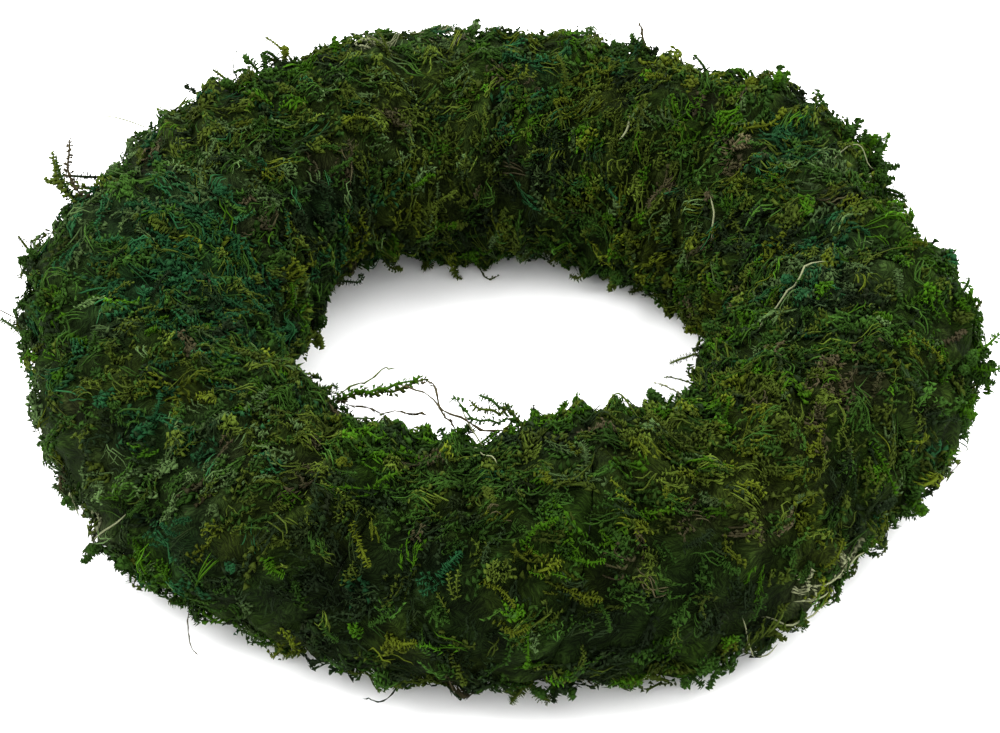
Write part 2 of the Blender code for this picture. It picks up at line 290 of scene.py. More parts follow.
# A feathery shoot's values are its leaves, rings, stem radius, the leaves' reach and breadth, the share of
# blunt ones, and a seed.
WISP = take_shape(add_stem(5, 0.00026))
SPARSE = [take_shape(add_feathery(7, 3, 0.00030, 0.0010, 0.0010, 0.2, seed)) for seed in (1, 2)]
FEATHERY = [take_shape(add_feathery(13, 3, 0.00036, 0.0014, 0.0012, 0.5, seed)) for seed in (4, 5)]
PUFF = take_shape(add_feathery(11, 2, 0.00050, 0.0018, 0.0015, 0.7, 10))
BROAD = [take_shape(add_feathery(9, 3, 0.00040, 0.0020, 0.0020, 0.6, seed)) for seed in (11, 12)]
LONG = {
    "straw": take_shape(add_stem(12, 0.0005)),
    "twig": take_shape(add_rough(14, 0.0005, 7)),
    "wisp": take_shape(add_feathery(14, 10, 0.00032, 0.0011, 0.0010, 0.3, 8)),
    "leafy": take_shape(add_feathery(42, 10, 0.00045, 0.0015, 0.0018, 0.8, 9)),
}

# The colours of the moss.
# The moss was dyed unevenly, and old and young growth differ. The dark patches are painted shade and
# the pale ones painted light. A patch favours one tone where it lies: its tone, its weight, and its
# places by turn and around in degrees and spread in millimetres.
TONES = {
    "deep": np.array((0.0160, 0.0415, 0.0054)),
    "emerald": np.array((0.0085, 0.0420, 0.0138)),
    "olive": np.array((0.0365, 0.0540, 0.0062)),
    "bright": np.array((0.0220, 0.0640, 0.0020)),
    "yellow": np.array((0.0450, 0.0600, 0.0040)),
    "soft": np.array((0.0425, 0.0731, 0.0229)),
    "brown": np.array((0.0400, 0.0340, 0.0170)),
    # Near-black, for dark shoots and for painted shade.
    "dark_and_painted_shade": np.array((0.0076, 0.0140, 0.0049)),
    # Pale, for bleached straws and for painted light on the rims.
    "pale": np.array((0.1530, 0.1658, 0.0892)),
}
PATCHES = (
    ("emerald", 6, (
        (182, 117, 15), (188, 80, 10), (222, 64, 8), (196, 119, 8), (230, 15, 7), (170, 75, 10),
        (138, 155, 7), (214, 48, 6), (262, 45, 6), (337, 5, 5), (6, 92, 10), (30, 83, 8), (81, 97, 6),
        (346, 99, 8), (166, 105, 8),
    )),
    ("bright", 6, (
        (186, 26, 5), (200, 6, 4), (225, -5, 5), (243, 26, 4), (250, 68, 3), (29, 25, 6), (93, 109, 5),
        (47, 105, 5), (48, 60, 5), (354, 39, 10), (352, 11, 7), (323, 27, 5), (322, 52, 5), (282, 49, 7),
        (280, 130, 6), (264, 134, 7), (304, 130, 6), (287, 126, 6), (249, 98, 9), (290, -18, 7),
        (12, 49, 5), (282, 62, 7), (308, 105, 6), (85, 134, 5), (125, 66, 6), (10, 40, 12),
    )),
    ("yellow", 7, (
        (162, 164, 5), (344, 40, 6), (331, 5, 3), (271, 26, 6), (250, 50, 5), (259, 0, 5), (236, 28, 5),
        (216, 76, 6), (75, 90, 5), (64, 48, 5), (10, 170, 5), (281, 30, 6), (111, 174, 8), (71, 110, 8),
        (45, 180, 9), (38, 167, 6), (124, -176, 5), (290, 75, 8), (309, 58, 10), (312, 8, 6), (244, -30, 5),
        (266, -17, 5), (85, 63, 5), (145, 116, 5), (316, 102, 6),
    )),
    ("olive", 6, (
        (52, 144, 11), (89, 170, 10), (292, 76, 12), (310, 54, 11), (146, 77, 11), (208, 61, 10),
        (240, 47, 10), (71, 110, 8), (319, 83, 10), (235, 84, 10), (107, 166, 10), (15, 71, 8),
        (264, 75, 11), (300, 66, 10), (104, 109, 13), (125, 116, 10), (212, 24, 6), (105, 155, 13),
    )),
    ("brown", 8, (
        (304, 41, 5), (352, 27, 4), (162, 134, 5), (86, 112, 5), (50, 95, 5), (297, 52, 4), (330, 68, 6),
        (317, 61, 5), (36, 106, 5), (15, 77, 5), (230, 64, 5), (112, 122, 4), (242, 71, 5), (287, 38, 5),
        (260, 53, 4), (260, 92, 4), (335, 58, 5), (285, 99, 5), (154, 59, 4), (132, 135, 5), (84, 151, 5),
        (44, 141, 4), (203, 32, 3),
    )),
    # The pale patches are painted light along the rims of the wreath.
    ("pale", 4, (
        (196, -11, 3), (206, -12, 3), (214, -13, 3), (182, 3, 3), (98, 57, 5), (109, 68, 3), (315, -3, 5),
        (309, -8, 4),
    )),
    ("soft", 6, (
        (227, 64, 11), (227, 42, 8), (213, 22, 6), (357, 81, 11), (348, 107, 8), (152, 36, 8), (151, 105, 10),
        (165, 82, 10), (99, 72, 10), (285, 79, 6), (31, 157, 6), (24, 76, 8), (172, 52, 6), (196, 65, 6),
        (105, 156, 14), (180, 2, 7), (190, -6, 7), (200, -12, 8), (211, -16, 8), (165, 18, 8),
    )),
    ("deep", 8, (
        (272, 28, 11), (288, 73, 11), (266, 96, 13), (287, 21, 10), (278, 7, 10), (264, 8, 8), (345, 44, 8),
        (348, -5, 6), (294, 33, 8), (256, 66, 8), (240, 7, 6),
    )),
    # The dark patches are painted shade, in the hollows between locks and over the lower front, where less
    # light falls.
    ("dark_and_painted_shade", 9, (
        (251, 34, 12), (258, 41, 10), (246, 13, 8), (266, 27, 7), (128, 150, 6), (146, 155, 7), (7, 108, 6),
        (284, 5, 11), (294, 16, 8), (268, 6, 7), (212, 39, 6), (197, 118, 5), (318, 41, 5), (242, 16, 6),
        (302, -2, 6), (281, 103, 7), (212, 75, 3), (18, 133, 5), (320, 147, 5), (348, 84, 5), (337, 20, 5),
        (74, 149, 6), (84, 164, 6), (281, 16, 8), (233, 17, 5), (278, -34, 6), (350, 35, 3), (66, 103, 5),
        (157, -154, 5), (97, -172, 4), (271, 38, 4), (262, -24, 9), (250, -24, 9),
    )),
)
YELLOWEST = math.radians(-20)
TONE_NAMES = list(TONES)
TONE_COLOURS = np.array([TONES[name] for name in TONE_NAMES])


# The form of the wreath.
# The moss is an uneven tube round the straw ring. `turn` goes round the wreath, and `around`
# round the tube, from its outer side over the top. Its surface is that of the CAD handfuls, half a
# millimetre fuller and with finer tufts and hollows.
RING_RADIUS = 0.108
CENTRE_HEIGHT = 0.033
RING_CENTRE = (0.0003, -0.0017)
HALF_WIDTH = 0.038
HALF_HEIGHT_ABOVE = 0.0365
HALF_HEIGHT_BELOW = 0.0335
FULLER = 0.0004
PRESSED_FLAT = math.radians(16)
# Bulges and hollows: turn and around in degrees, rise in metres.
BULGE_SPREAD_TURN = math.radians(8)
BULGE_SPREAD_AROUND = math.radians(48)
BULGES = (
    (0, 0, 0.005), (15, 20, -0.003), (42, 40, 0.005), (82, -130, -0.003), (92, 50, 0.003), (112, 50, 0.002),
    (130, 45, 0.002), (120, -132, -0.007), (135, -138, -0.003), (150, 35, 0.003), (155, -148, 0.004),
    (166, 18, 0.006), (176, 180, 0.003), (240, 130, -0.002), (255, -50, -0.004), (284, 130, 0.007),
    (300, -50, 0.003), (315, 140, -0.003), (330, -30, -0.002), (346, -18, 0.003),
)
RIPPLES = 14
RIPPLE_RISE = 0.0008
TUFT_WAVES = 48
TUFT_RISE = 0.0013
HOLLOW_DEPTH = 0.0016
DEEPEST_HOLLOW = 0.0014
# The form is worked out once, for whole steps of both angles.
TURN_STEPS = 720
AROUND_STEPS = 360


def angle_from(angles, degrees):
    """The signed way round a circle from an angle in degrees to each of those angles."""
    return (angles - math.radians(degrees) + math.pi) % math.tau - math.pi


def nearness(turn, around, place):
    """How near each place is to the middle of a patch, which has a spread in millimetres: from 1 in its
    middle to 0 far off."""
    middle_turn, middle_around, spread = place
    along = angle_from(turn, middle_turn)
    over = angle_from(around, middle_around)
    reach = RING_RADIUS + HALF_WIDTH * np.cos(around)
    distance = np.hypot(along * reach, over * HALF_WIDTH) * 1000 / spread
    return np.exp(-(distance**2) / 2)


def build_surface():
    """Three tables: the distance from the middle of the tube to the surface, the same without its tufts
    and hollows, and how far each place stands up as a tuft (about 1) or lies back (about -1)."""
    turns = np.linspace(0, math.tau, TURN_STEPS + 1)
    arounds = np.linspace(-math.pi, math.pi, AROUND_STEPS + 1)
    turn, around = np.meshgrid(turns, arounds, indexing="ij")
    half_height = np.where(np.sin(around) > 0, HALF_HEIGHT_ABOVE, HALF_HEIGHT_BELOW) + FULLER
    radius = 1 / np.hypot(np.cos(around) / HALF_WIDTH, np.sin(around) / half_height)
    for bulge_turn, bulge_around, rise in BULGES:
        along = angle_from(turn, bulge_turn) / BULGE_SPREAD_TURN
        over = angle_from(around, bulge_around) / BULGE_SPREAD_AROUND
        radius += rise * np.exp(-(along**2 + over**2) / 2)
    # Ripples run whole times round the wreath and round the tube, so they meet themselves.
    draw = random.Random(7)
    for _ in range(RIPPLES):
        times_round, times_over = draw.randint(3, 15), draw.randint(-4, 4)
        phase, rise = draw.uniform(0, math.tau), RIPPLE_RISE * draw.uniform(0.4, 1.0)
        radius += rise * np.sin(times_round * turn + times_over * around + phase)
    smooth = radius.copy()
    # Tufts and dents half a centimetre to two across, and the dark hollows between locks.
    draw = random.Random(11)
    tufts = np.zeros_like(turn)
    for _ in range(TUFT_WAVES):
        times_round, times_over = draw.randint(16, 80), draw.randint(-15, 15)
        tufts += 0.2 * np.sin(times_round * turn + times_over * around + draw.uniform(0, math.tau))
    radius += TUFT_RISE * tufts
    # The patches of painted shade are also pressed in as hollows.
    hollows = next(places for name, _, places in PATCHES if name == "dark_and_painted_shade")
    for place in hollows:
        radius -= HOLLOW_DEPTH * nearness(turn, around, place)
    radius = np.maximum(radius, smooth - DEEPEST_HOLLOW)
    # The underside is pressed flat on the floor.
    down = np.maximum(-np.sin(around), 1e-6)
    to_floor = CENTRE_HEIGHT / down
    pressed = down > math.cos(PRESSED_FLAT)
    radius = np.where(pressed, to_floor, np.minimum(radius, to_floor))
    smooth = np.where(pressed, to_floor, np.minimum(smooth, to_floor))
    return radius, smooth, tufts


SURFACE, SMOOTH_FORM, TUFTS = build_surface()


def surface(turn, around, table=SURFACE):
    """The distance from the middle of the tube to the surface, read between the steps of its table."""
    i = (turn % math.tau) / math.tau * TURN_STEPS
    j = ((around + math.pi) % math.tau) / math.tau * AROUND_STEPS
    i0 = np.minimum(i.astype(int), TURN_STEPS - 1)
    j0 = np.minimum(j.astype(int), AROUND_STEPS - 1)
    fi, fj = i - i0, j - j0
    low = table[i0, j0] * (1 - fj) + table[i0, j0 + 1] * fj
    high = table[i0 + 1, j0] * (1 - fj) + table[i0 + 1, j0 + 1] * fj
    return low * (1 - fi) + high * fi


def on_ring(turn, around, radius, least_height):
    """Points at that distance from the middle of the tube, none of them lower than least_height."""
    reach = RING_RADIUS + radius * np.cos(around)
    x = RING_CENTRE[0] + reach * np.cos(turn)
    y = RING_CENTRE[1] + reach * np.sin(turn)
    z = np.maximum(CENTRE_HEIGHT + radius * np.sin(around), least_height)
    return np.stack([x, y, z], -1)


def tone_weights(turn, around):
    """How strongly each tone shows at each place. The moss is bluer on the left, yellower on the right."""
    right = 0.5 + 0.5 * np.cos(turn - YELLOWEST)
    common = {
        "deep": 2.8,
        "emerald": 0.60 - 0.58 * right,
        "olive": 1.1 + 0.8 * right,
        "bright": 0.35 + 0.45 * right,
        "yellow": 0.08 + 0.30 * right,
        "soft": 0.25,
        "brown": 0.07,
        "dark_and_painted_shade": 0.5,
        "pale": 0,
    }
    weights = np.stack([np.broadcast_to(common[name], turn.shape).astype(float) for name in TONE_NAMES], -1)
    for name, weight, places in PATCHES:
        for place in places:
            weights[..., TONE_NAMES.index(name)] += weight * nearness(turn, around, place)
    return weights / weights.sum(-1, keepdims=True)


def pick_tones(rng, turn, around, depth):
    """A tone for each place, as a colour. Bright and yellow tones are favoured on top as painted light,
    and the near-black tone lower in the tangle as painted shade.
    """
    favour = {"bright": 1.5 - 1.4 * depth, "yellow": 1.5 - 1.4 * depth, "dark_and_painted_shade": 0.8 + 2 * depth, "brown": 0.8}
    weights = tone_weights(turn, around) * [favour.get(name, 1) for name in TONE_NAMES]
    steps = np.cumsum(weights / weights.sum(-1, keepdims=True), -1)
    chosen = (rng.random(len(turn))[:, None] > steps).sum(-1)
    return TONE_COLOURS[np.minimum(chosen, len(TONES) - 1)]


# Laying shoots.
# A shoot is laid along a bent and waving line on the moss. It starts and ends below or above the
# surface as given, and arches between. All the lines of one call are worked out together.
LINE_STEPS = 16
FLOOR_GAP = (0.0003, 0.0020)
# Painted shade and light on each shoot: darker at its root and along its stem, lighter at its tip and at the
# ends of its leaves.
ROOT_PAINTED_SHADE = 0.74
PAINTED_LIGHT_AT_TIP = 0.36
STEM_PAINTED_SHADE = 0.86
PAINTED_LIGHT_AT_LEAF_END = 0.28
# The same for stray sprigs: painted shade at the root, painted light at the tip.
STRAY_ROOT_PAINTED_SHADE = 0.75
STRAY_PAINTED_LIGHT_AT_TIP = 0.35
STRAY_OVER_FLOOR = 0.0004
STRAY_MIDDLE_OVER_FLOOR = 0.0006
# Which way the moss is combed: turn and around of the place, and heading (0 along the wreath, 90 on over
# the tube), all in degrees.
FLOW_SPREAD = 12
FLOWS = (
    (150, 35, 50), (155, 85, 30), (148, 112, 160), (165, 80, 90), (166, 52, 150), (185, 115, 60),
    (192, 87, 95), (195, 60, 50), (206, 100, 40), (200, 27, 10), (211, 69, 35), (225, 57, 80),
    (218, 15, 50), (224, 0, 145), (240, 92, 175), (250, 76, 10), (264, 75, 0), (278, 74, 165),
    (292, 72, 175), (307, 56, 130), (320, 50, 15), (326, 25, 50), (335, 12, 15), (308, 24, 30),
    (307, -15, 20), (295, 16, 80), (289, 38, 130), (278, 44, 175), (272, 26, 85), (264, 44, 65),
    (250, 47, 110), (237, 29, 45), (253, 8, 15), (262, -6, 155), (282, 0, 30), (78, 105, 75), (51, 142, 90),
    (42, 165, 65), (46, 95, 130), (24, 92, 60), (22, 57, 125), (10, 110, 120), (355, 85, 165), (8, 52, 120),
    (355, 43, 30), (341, 74, 120), (351, 17, 150), (86, 95, 30), (98, 84, 175), (107, 88, 160),
    (120, 103, 130), (123, 70, 20), (139, 95, 170), (128, 164, 70), (100, 155, 70), (72, 173, 150),
    (157, 160, 25),
)


def flow(turn, around):
    """The heading along which the moss is combed at each place. Far from the listed places it wanders."""
    loose = 2.2 * np.sin(3 * turn + 2 * around + 0.7) + 1.6 * np.sin(7 * turn - 3 * around + 2.1)
    x, y = 0.25 * np.cos(2 * loose), 0.25 * np.sin(2 * loose)
    for flow_turn, flow_around, heading in FLOWS:
        near = nearness(turn, around, (flow_turn, flow_around, FLOW_SPREAD))
        x += near * math.cos(2 * math.radians(heading))
        y += near * math.sin(2 * math.radians(heading))
    return np.arctan2(y, x) / 2


def lay(shape, rng, turn, around, heading, length, colour, start, arch, tip, width, bend, wave, times, phase):
    """Copies of a shoot, one for each place, bent along their lines: their corners, triangles and colours."""
    corners, faces = shape
    count = len(turn)
    turn, around, heading, length, start, arch, tip, width, bend, wave, times, phase = (
        np.broadcast_to(np.asarray(v, float), (count,))[:, None]
        for v in (turn, around, heading, length, start, arch, tip, width, bend, wave, times, phase)
    )
    middles = (np.arange(LINE_STEPS)[None] + 0.5) / LINE_STEPS
    bent = heading + bend * (middles - 0.5) + wave * np.sin(math.tau * times * middles + phase)
    line_x = np.concatenate([np.zeros((count, 1)), np.cumsum(np.cos(bent) * length / LINE_STEPS, 1)], 1)
    line_y = np.concatenate([np.zeros((count, 1)), np.cumsum(np.sin(bent) * length / LINE_STEPS, 1)], 1)
    line_x -= line_x[:, LINE_STEPS // 2][:, None]
    line_y -= line_y[:, LINE_STEPS // 2][:, None]
    along = np.clip(corners[:, 0], 0, 1)
    step = np.minimum((along * LINE_STEPS).astype(int), LINE_STEPS - 1)
    share = along * LINE_STEPS - step
    x = line_x[:, step] * (1 - share) + line_x[:, step + 1] * share
    y = line_y[:, step] * (1 - share) + line_y[:, step + 1] * share
    facing = bent[:, step]
    past = (corners[:, 0] - along) * length
    x += np.cos(facing) * past - np.sin(facing) * corners[:, 1] * width
    y += np.sin(facing) * past + np.cos(facing) * corners[:, 1] * width
    mid_radius = surface(turn, around)
    over = around + y / mid_radius
    onward = turn + x / (RING_RADIUS + mid_radius * np.cos(over))
    rise = start * (1 - along) + arch * 4 * along * (1 - along) + tip * along**2
    radius = surface(onward, over) + rise + corners[:, 2] * width
    least = rng.uniform(*FLOOR_GAP, (count, 1)) + np.abs(corners[:, 2]) * 0.5
    points = on_ring(onward, over, radius, least).reshape(-1, 3)
    triangles = (faces[None] + (np.arange(count) * len(corners))[:, None, None]).reshape(-1, 3)
    # Painted shade: roots are darker than tips, and the stem is darker than the points of its leaves.
    outward = np.hypot(corners[:, 1], corners[:, 2])
    outward = outward / outward.max()
    shading = (ROOT_PAINTED_SHADE + PAINTED_LIGHT_AT_TIP * along) * (STEM_PAINTED_SHADE + PAINTED_LIGHT_AT_LEAF_END * outward)
    colours = (colour[:, None, :] * shading[None, :, None]).reshape(-1, 3)
    return points, triangles, colours


def lay_along(shape, line, colour, width):
    """One shoot drawn smoothly through places given as turn, around and millimetres above the moss."""
    corners, faces = shape
    turn, around, rise = np.array(line, float).T
    turn, around = np.radians(turn), np.radians(around)
    knots = on_ring(turn, around, surface(turn, around) + rise * 0.001, STRAY_MIDDLE_OVER_FLOOR)
    ends = np.vstack([2 * knots[0] - knots[1], knots, 2 * knots[-1] - knots[-2]])
    last = len(knots) - 1

    def place(share):
        before = np.minimum(share.astype(int), last - 1)
        t = (share - before)[:, None]
        a, b, c, d = ends[before], ends[before + 1], ends[before + 2], ends[before + 3]
        return b + t * (c - a + t * (2 * a - 5 * b + 4 * c - d + t * (3 * b - a - 3 * c + d))) / 2

    along = np.clip(corners[:, 0], 0, 1)
    share = along * last
    middle = place(share)
    ahead = place(np.minimum(share + 0.05, last)) - place(np.maximum(share - 0.05, 0))
    ahead /= np.linalg.norm(ahead, axis=1, keepdims=True)
    # Its sides are square to the way out of the tube. The small offset is for a shoot that runs straight out.
    tube = middle * (1, 1, 0) - (*RING_CENTRE, 0)
    tube *= RING_RADIUS / np.linalg.norm(tube, axis=1, keepdims=True)
    tube += (*RING_CENTRE, CENTRE_HEIGHT)
    aside = np.cross(middle - tube + (0.006, 0.004, 0.010), ahead)
    aside /= np.linalg.norm(aside, axis=1, keepdims=True)
    lifted = np.cross(ahead, aside)
    length = np.linalg.norm(np.diff(knots, axis=0), axis=1).sum()
    past = (corners[:, 0] - along)[:, None] * length
    points = middle + ahead * past + aside * corners[:, 1:2] * width + lifted * corners[:, 2:3] * width
    points[:, 2] = np.maximum(points[:, 2], STRAY_OVER_FLOOR)
    # Painted shade: the root is darker than the tip.
    shading = (STRAY_ROOT_PAINTED_SHADE + STRAY_PAINTED_LIGHT_AT_TIP * along)[:, None]
    return points, faces, np.asarray(colour) * shading


# Moss handfuls.
# A dozen handfuls of moss, laid over the straw one after the other and bound. Each has a dense
# mat, and on it locks of shoots that lie together, in layers, each lock with its own lie.
HANDFULS = 12
STEP_TURN = math.tau / HANDFULS
UNDERSIDE = math.radians(-90)
MAT_CUTS_LONG = 4
MAT_CUTS_ROUND = 23
MAT_CUTS_FINE = 4
GAP_SHARE = 0.003
MAT_BELOW_SURFACE = 0.0012
RIM_BELOW_MAT = 0.0012
MAT_RELIEF = 0.0005
DEEPEST_MAT = 0.0024
MAT_INSIDE = 0.0272
LEAST_OUTSIDE = 0.0285
MAT_MOTTLE = 0.20
MAT_PAINTED_TUFT_LIGHT = 0.30


def add_mat(number, rng):
    """The mat: a slab, fine on its outer side, wrapped round the straw."""
    bpy.ops.mesh.primitive_cube_add(size=1)
    made = bpy.context.object
    bpy.ops.object.mode_set(mode="EDIT")
    bpy.ops.mesh.select_mode(type="EDGE")
    bpy.ops.mesh.select_all(action="DESELECT")
    for axis, cuts in ((1, MAT_CUTS_ROUND), (0, MAT_CUTS_LONG)):
        bpy.ops.object.mode_set(mode="OBJECT")
        mesh = made.data
        for edge in mesh.edges:
            first, second = (mesh.vertices[i].co for i in edge.vertices)
            edge.select = abs((first - second)[axis]) > 0.01
        bpy.ops.object.mode_set(mode="EDIT")
        bpy.ops.mesh.subdivide(number_cuts=cuts)
        bpy.ops.mesh.select_all(action="DESELECT")
    bpy.ops.mesh.select_mode(type="FACE")
    bpy.ops.object.mode_set(mode="OBJECT")
    for face in made.data.polygons:
        face.select = face.normal.z > 0.9
    bpy.ops.object.mode_set(mode="EDIT")
    bpy.ops.mesh.subdivide(number_cuts=MAT_CUTS_FINE)
    bpy.ops.object.mode_set(mode="OBJECT")
    mesh = made.data
    corners = np.empty(len(mesh.vertices) * 3)
    mesh.vertices.foreach_get("co", corners)
    share_long, share_round, outer = corners.reshape(-1, 3).T + 0.5
    around = UNDERSIDE + np.clip(share_round, 0.001, 0.999) * math.tau
    turn = (number + share_round + GAP_SHARE + (1 - 2 * GAP_SHARE) * share_long) * STEP_TURN
    at_rim = np.clip(1 - 25 * np.minimum(share_long, 1 - share_long), 0, 1)
    radius = surface(turn, around) - MAT_BELOW_SURFACE - RIM_BELOW_MAT * at_rim
    radius += rng.normal(0, MAT_RELIEF, len(turn))
    # The wire lies 3 mm deep, and the mats all but close over it.
    radius = np.maximum(radius, surface(turn, around, SMOOTH_FORM) - DEEPEST_MAT)
    radius = np.where(outer > 0.5, np.maximum(radius, LEAST_OUTSIDE), MAT_INSIDE)
    mesh.vertices.foreach_set("co", on_ring(turn, around, radius, 0.0001).ravel())
    unrolled = mesh.uv_layers.active or mesh.uv_layers.new(name="unrolled")
    unrolled.name = "unrolled"
    corner_of = np.empty(len(mesh.loops), int)
    mesh.loops.foreach_get("vertex_index", corner_of)
    flat = np.stack([turn * RING_RADIUS, around * HALF_WIDTH], -1)[corner_of]
    unrolled.data.foreach_set("uv", flat.astype(np.float32).ravel())
    stored = mesh.attributes.new("tone", "FLOAT_COLOR", "POINT")
    blend = tone_weights(turn, around) @ TONE_COLOURS * rng.lognormal(0, MAT_MOTTLE, (len(turn), 1))
    # Painted light and shade: where the moss stands up in tufts it is lighter, in the dents darker, where
    # older growth also lies.
    blend *= np.exp(MAT_PAINTED_TUFT_LIGHT * surface(turn, around, TUFTS))[:, None]
    rgba = np.concatenate([blend, np.ones((len(blend), 1))], 1)
    stored.data.foreach_set("color", rgba.astype(np.float32).ravel())
    mesh.materials.append(mat_moss_painted_shade)
    mesh.shade_smooth()
    return made


# Steps that fill a square evenly: one over the plastic number, and its square.
EVEN_ROUND = 0.7548776662
EVEN_LONG = 0.5698402910
FEWER_BENEATH = 0.055


def spread_out(rng, count):
    """Places spread evenly over a handful, fewer beneath it, as shares of its way round and its length."""
    order = np.arange(count)
    across = (rng.random() + EVEN_ROUND * order + rng.normal(0, 0.02, count)) % 1
    along = (rng.random() + EVEN_LONG * order + rng.normal(0, 0.03, count)) % 1
    return across + FEWER_BENEATH * np.sin(math.tau * across), along


# The layers of a handful, from the mat outwards. A row has the shape, how many locks of it, how many more
# where the moss is leafiest, shoots in a lock, least and most length, how far apart the shoots lie, least
# and most height over the moss, how deep in the tangle (1) or on top (0), lightness (painted shade, darker
# in the lower layers), width, curl, and how high a tip may stand.
LAYERS = (
    (BROAD[0], 38, 0, 3, (0.008, 0.014), 0.0022, (0.0000, 0.0010), 0.9, 0.75, 1.00, 1.0, 0.0022),
    (BROAD[1], 66, 0, 3, (0.007, 0.013), 0.0022, (0.0002, 0.0016), 0.7, 0.82, 0.90, 1.3, 0.0022),
    (SPARSE[0], 58, 0, 4, (0.007, 0.013), 0.0015, (0.0010, 0.0026), 0.5, 0.92, 1.00, 1.4, 0.0022),
    (WISP, 40, 0, 4, (0.007, 0.015), 0.0013, (0.0014, 0.0030), 0.5, 0.95, 1.00, 1.3, 0.0022),
    (PUFF, 34, 30, 4, (0.004, 0.007), 0.0013, (0.0010, 0.0034), 0.0, 1.00, 1.00, 1.6, 0.0030),
    (FEATHERY[0], 68, 0, 3, (0.007, 0.012), 0.0018, (0.0014, 0.0032), 0.3, 0.95, 0.95, 1.8, 0.0022),
    (SPARSE[1], 64, 0, 3, (0.006, 0.012), 0.0015, (0.0018, 0.0038), 0.3, 1.00, 0.95, 1.8, 0.0022),
    (WISP, 58, -36, 4, (0.007, 0.014), 0.0012, (0.0022, 0.0040), 0.2, 1.05, 0.90, 1.5, 0.0022),
    (FEATHERY[1], 44, 0, 2, (0.006, 0.012), 0.0014, (0.0022, 0.0044), 0.0, 1.02, 0.95, 3.0, 0.0050),
)
LEAFIEST = math.radians(300)
HEADING_SPREAD = 0.38
TONE_SPREAD = 0.20
PAINTED_TUFT_LIGHT = 0.24
OWN_TONE = 0.1
ROOT_DEPTH = 0.0016
LOCK_CROWN = 0.0012
SHOOT_ARCH = 0.0006
TIP_DEPTH = 0.0015


def lay_locks(number, rng, leafy, layer):
    """Locks of shoots: those of one lock start side by side, bend alike and share their tone."""
    shape, locks, more, each, length, spread, height, depth, layer_painted_shade, width, curl, stand = layer
    locks = round(locks + more * leafy)
    share_round, share_long = spread_out(rng, locks)
    turn = (number + share_round + share_long) * STEP_TURN
    around = UNDERSIDE + share_round * math.tau
    heading = flow(turn, around) + rng.normal(0, HEADING_SPREAD, locks) + math.pi * (rng.random(locks) < 0.5)
    # Deeper layers get darker tones, as painted shade.
    tones = pick_tones(rng, turn, around, depth) * rng.lognormal(0, TONE_SPREAD, (locks, 1)) * layer_painted_shade
    # Painted light and shade: locks on tufts are lighter, those in dents darker, where older growth also
    # lies.
    tones *= np.exp(PAINTED_TUFT_LIGHT * surface(turn, around, TUFTS))[:, None]
    heights = rng.uniform(*height, locks)
    bends, waves = rng.normal(0, curl, locks), rng.normal(0, 0.4 * curl, locks)
    times, phases = rng.uniform(0.8, 1.9, locks), rng.uniform(0, math.tau, locks)
    lengths = rng.uniform(*length, locks)
    of = np.repeat(np.arange(locks), each)
    count = locks * each
    beside = rng.normal(0, 1, count)
    ahead = rng.normal(0, spread * 1.2, count)
    mid = surface(turn, around)[of]
    dx = ahead * np.cos(heading[of]) - beside * spread * np.sin(heading[of])
    dy = ahead * np.sin(heading[of]) + beside * spread * np.cos(heading[of])
    places_around = around[of] + dy / mid
    places_turn = turn[of] + dx / (RING_RADIUS + mid * np.cos(places_around))
    own = pick_tones(rng, places_turn, places_around, depth) * layer_painted_shade
    colour = (tones[of] * (1 - OWN_TONE) + own * OWN_TONE) * rng.lognormal(0, 0.07, (count, 1))
    # The middle of a lock stands higher than its edges, and about half of the tips dive in.
    bases = heights[of] + LOCK_CROWN * np.exp(-(beside**2)) + rng.normal(0, 0.0003, count)
    tips = np.where(rng.random(count) < 0.5, -bases - TIP_DEPTH, rng.uniform(-0.0004, stand, count))
    headings = heading[of] + 0.09 * beside + rng.normal(0, 0.10, count)
    own_lengths = lengths[of] * rng.uniform(0.75, 1.15, count)
    widths = width * rng.uniform(0.75, 1.25, count)
    own_bends = bends[of] + rng.normal(0, 0.3, count)
    own_phases = phases[of] + rng.normal(0, 0.25, count)
    return lay(
        shape, rng, places_turn, places_around, headings, own_lengths, colour,
        bases - ROOT_DEPTH, SHOOT_ARCH, tips, widths, own_bends, waves[of], times[of], own_phases,
    )


def gather(name, parts):
    """One mesh of all those corners, triangles and colours."""
    starts = np.cumsum([0] + [len(part[0]) for part in parts[:-1]])
    points = np.concatenate([part[0] for part in parts])
    faces = np.concatenate([part[1] + start for part, start in zip(parts, starts)])
    colours = np.concatenate([part[2] for part in parts])
    mesh = bpy.data.meshes.new(name)
    mesh.vertices.add(len(points))
    mesh.vertices.foreach_set("co", points.astype(np.float32).ravel())
    mesh.loops.add(len(faces) * 3)
    mesh.loops.foreach_set("vertex_index", faces.astype(np.int32).ravel())
    mesh.polygons.add(len(faces))
    mesh.polygons.foreach_set("loop_start", np.arange(0, len(faces) * 3, 3, dtype=np.int32))
    mesh.polygons.foreach_set("use_smooth", np.ones(len(faces), bool))
    mesh.update(calc_edges=True)
    stored = mesh.attributes.new("tone", "FLOAT_COLOR", "POINT")
    rgba = np.concatenate([colours, np.ones((len(colours), 1))], 1)
    stored.data.foreach_set("color", rgba.astype(np.float32).ravel())
    mesh.materials.append(moss)
    made = bpy.data.objects.new(name, mesh)
    scene.collection.objects.link(made)
    return made


